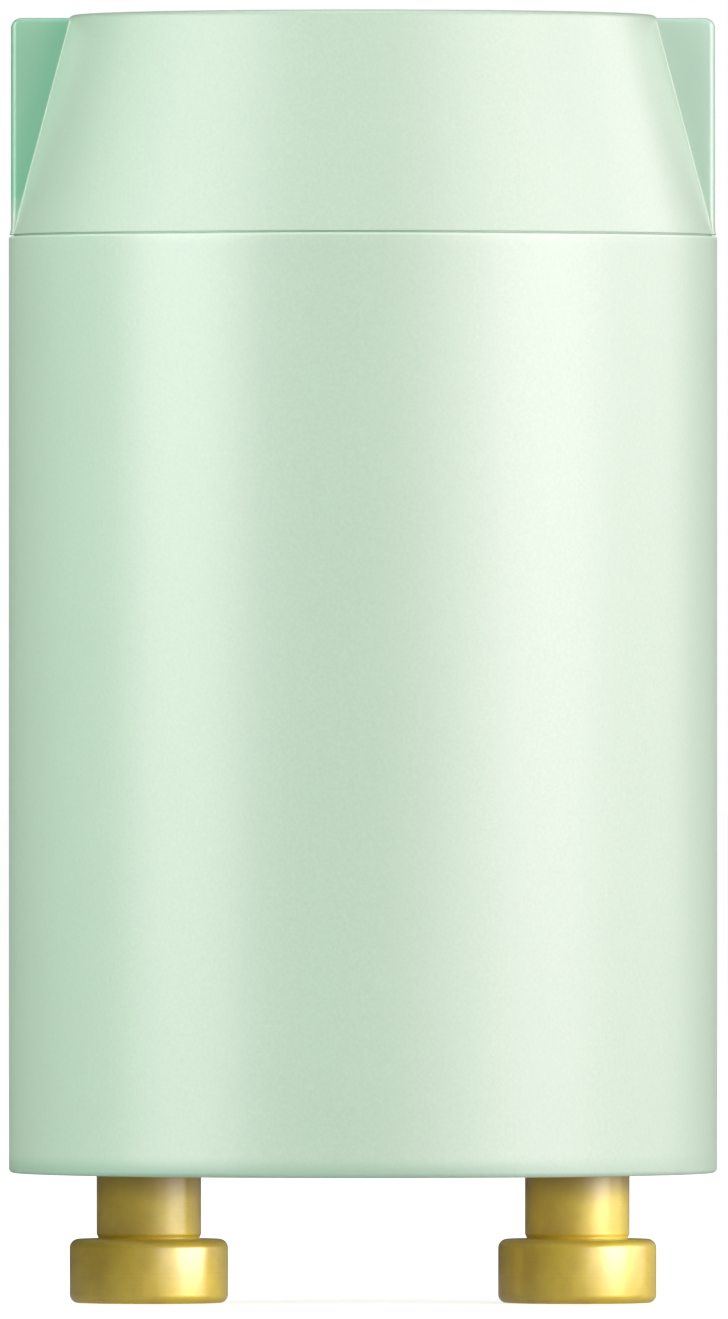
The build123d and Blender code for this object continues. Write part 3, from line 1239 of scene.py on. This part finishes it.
@dataclass
class Studio:
    """White floor and backdrop, a grey surround for reflections, soft lamps and the camera.

    Attributes:
        surround_turn: Cosines from the surround's light side between which its level rises.
        surround_near: Its level on the floor by the object, which ends over surround_fade.
    """

    floor_half: float = 3.0
    floor_color: Color = (0.86, 0.86, 0.86)
    floor_lift: float = 0.7
    ambient: float = 0.33
    lens: float = 874.0
    sensor: float = 36.0
    frame_top_z: float = 38.18 * MM
    frame_top_pixel: float = 15.3
    axis_pixel: float = 363.0
    surround_r: float = 0.6
    surround_inner_r: float = 0.0005
    surround_foot: float = 0.02 * MM
    surround_height: float = 0.9
    surround_azimuth: float = 75.0
    surround_turn: Point = (-0.3, 1.0)
    surround_low: float = 0.08
    surround_high: float = 0.55
    surround_near: float = 0.22
    surround_fade: Point = (0.01, 0.05)

    def add_floor(self) -> None:
        """White floor that keeps the object's shadow."""
        shape = bmesh.new()
        bmesh.ops.create_grid(shape, x_segments=2, y_segments=2, size=self.floor_half)
        graph = Graph(bpy.data.materials.new("floor_white"))
        plain = graph.node("ShaderNodeBsdfDiffuse", None, {"Color": self.floor_color}).value(0)
        lift = {"Strength": graph.shown() * self.floor_lift}
        glow = graph.node("ShaderNodeEmission", None, lift).value(0)
        lit = graph.node("ShaderNodeAddShader", None, {0: plain, 1: glow}).value(0)
        floor = placed(shape, "floor", graph.finish(lit))

    def add_surround(self) -> None:
        """Grey card that only shows in reflections, lighter on the right than on the left.

        It is a wall round the object and a disc close over the floor, so that the brass doesn't
        reflect the white floor.
        """
        shape = bmesh.new()
        bmesh.ops.create_circle(shape, cap_ends=False, segments=96, radius=self.surround_r)
        rim = list(shape.edges)
        top, _ = extruded(shape, rim)
        bmesh.ops.translate(shape, verts=top, vec=(0, 0, self.surround_height))
        inner, _ = extruded(shape, rim)
        share = self.surround_inner_r / self.surround_r
        bmesh.ops.scale(shape, verts=inner, vec=(share, share, 1))
        bmesh.ops.translate(shape, verts=shape.verts, vec=(0, 0, self.surround_foot))
        graph = Graph(bpy.data.materials.new("surround_grey"))
        x, y, _ = graph.axes(graph.place())
        turn = radians(self.surround_azimuth)
        away = (x * x + y * y).root()
        far = away.between(*self.surround_fade)
        facing = ((x * sin(turn) - y * cos(turn)) / away).between(*self.surround_turn)
        level = self.surround_low + facing * far * (self.surround_high - self.surround_low)
        level = level + (1.0 - far) * self.surround_near
        glow = graph.node("ShaderNodeEmission", None, {"Strength": level}).value(0)
        screen = placed(shape, "surround", graph.finish(glow))
        for ray in ("camera", "diffuse", "transmission", "shadow"):
            setattr(screen, f"visible_{ray}", False)

    def add_world(self) -> None:
        """White to the camera, soft grey to the object."""
        world = bpy.data.worlds.new("studio")
        bpy.context.scene.world = world
        graph = Graph(world)
        level = self.ambient + graph.shown() * (1 - self.ambient)
        inputs = {"Color": WHITE, "Strength": level}
        back = graph.node("ShaderNodeBackground", None, inputs).value(0)
        graph.finish(back, "ShaderNodeOutputWorld")

    def add_camera(self) -> None:
        """Long lens at the photo's own height, level with the middle of the picture."""
        height = IMAGE_HEIGHT / PIXELS_PER_METRE
        lens = bpy.data.cameras.new("camera")
        lens.lens = self.lens
        lens.sensor_width = self.sensor
        distance = height * self.lens / self.sensor
        lens.clip_start = distance / 20
        lens.clip_end = distance * 10
        camera = bpy.data.objects.new("camera", lens)
        drop = (IMAGE_HEIGHT / 2 - self.frame_top_pixel) / PIXELS_PER_METRE
        middle_x = (IMAGE_WIDTH / 2 - self.axis_pixel) / PIXELS_PER_METRE
        camera.location = (middle_x, -distance, self.frame_top_z - drop)
        camera.rotation_euler = (pi / 2, 0, 0)
        bpy.context.scene.collection.objects.link(camera)
        bpy.context.scene.camera = camera

    def build(self, lamps: Sequence[SoftLamp]) -> None:
        """Set up the whole stage.

        Args:
            lamps: The lamps to place.
        """
        low, high = cad_box
        for lamp in lamps:
            lamp.place((low + high) / 2)
        self.add_floor()
        self.add_surround()
        self.add_world()
        self.add_camera()
        bpy.context.scene.view_settings.view_transform = "Standard"


WHITE = (1.0, 1.0, 1.0)
COOL = (1.0, 0.945, 0.97)
WARM = (1.0, 0.825, 0.91)
LEAF = (0.7, 1.0, 0.85)
LAMPS = (
    SoftLamp("left_low", -60, 9, 40, 26, 3.75, COOL),
    SoftLamp("left_edge", -30, 9, 20, 26, 0.6, COOL),
    SoftLamp("left_far", -100, 9, 40, 26, 0.55, LEAF),
    SoftLamp("left_high", -70, 32, 70, 18, 1.7, COOL),
    SoftLamp("front_high", -10, 32, 30, 18, 0.6, COOL),
    SoftLamp("right_low", 60, 9, 40, 26, 4.1, WARM),
    SoftLamp("right_edge", 30, 9, 20, 26, 1.8, WARM),
    SoftLamp("right_far", 103, 9, 46, 26, 1.8, WARM),
    SoftLamp("right_high", 73, 32, 116, 18, 1.35, WARM),
    SoftLamp("pins_panel", 64, 8, 144, 24, 2.5, WHITE, Reach.ONLY),
    SoftLamp("left_pin_strip", 66, 7, 47, 20, 7.2, WHITE, Reach.ONLY, PINS[:1]),
    SoftLamp("right_pin_strip", 57, 7, 34, 20, 5.6, WHITE, Reach.ONLY, PINS[1:]),
    SoftLamp("top", 20, 78, 50, 50, 0.3, WHITE, Reach.ALL),
)


def carry_over(node: str, finish: Finish) -> None:
    """Give a node of the frame its finished material.

    Args:
        node: Name of the node.
        finish: Its finish.
    """
    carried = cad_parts[node]
    material = finish.material()
    for slot in carried.material_slots:
        slot.material = material
    log.info("%s carried over with %s", node, finish.name)


def main() -> None:
    """Build the starter and its stage."""
    logging.basicConfig(level=logging.INFO, format="%(name)s: %(message)s")
    canister = Canister().dress(SatinPlastic("mint_plastic", (0.476, 0.68, 0.505), 0.36))
    log.info("%s built", canister.name)
    brass = TurnedBrass("turned_brass", (0.81, 0.61, 0.028), 0.54)
    for side in Side:
        stud = ContactPin(side).dress(brass)
        log.info("%s built", stud.name)
    carry_over("base_disc", MattPlastic("disc_plastic", (0.6, 0.6, 0.54), 0.5))
    pairs = {
        "lamp_lead": DrawnMetal("copper_wire", (0.72, 0.36, 0.22), 0.3),
        "capacitor_lead": DrawnMetal("tinned_wire", (0.66, 0.66, 0.65), 0.32),
        "solder_joint": SolderFinish("soft_solder", (0.58, 0.58, 0.6), 0.35),
        "seal_wire": DrawnMetal("clad_wire", (0.52, 0.2, 0.13), 0.4),
        "lead_sleeve": MattPlastic("soft_sleeve", (0.6, 0.6, 0.54), 0.55),
    }
    for side in Side:
        for name, finish in pairs.items():
            carry_over(f"{name}_{side.value}", finish)
    carry_over("glow_tube", BlownGlass("blown_glass", (0.95, 0.98, 0.97), 0.02))
    nickel = DrawnMetal("nickel_rod", (0.58, 0.56, 0.52), 0.3)
    carry_over("bimetal_post", nickel)
    carry_over("fixed_electrode", nickel)
    carry_over("bimetal_strip", DrawnMetal("bimetal", (0.45, 0.43, 0.41), 0.35))
    carry_over("emitter_tab", MattPlastic("emitter_coat", (0.12, 0.12, 0.12), 0.7))
    carry_over("capacitor_body", DippedLacquer("dipped_lacquer", (0.24, 0.045, 0.012), 0.3))
    Studio().build(LAMPS)


if __name__ == "__main__":
    main()
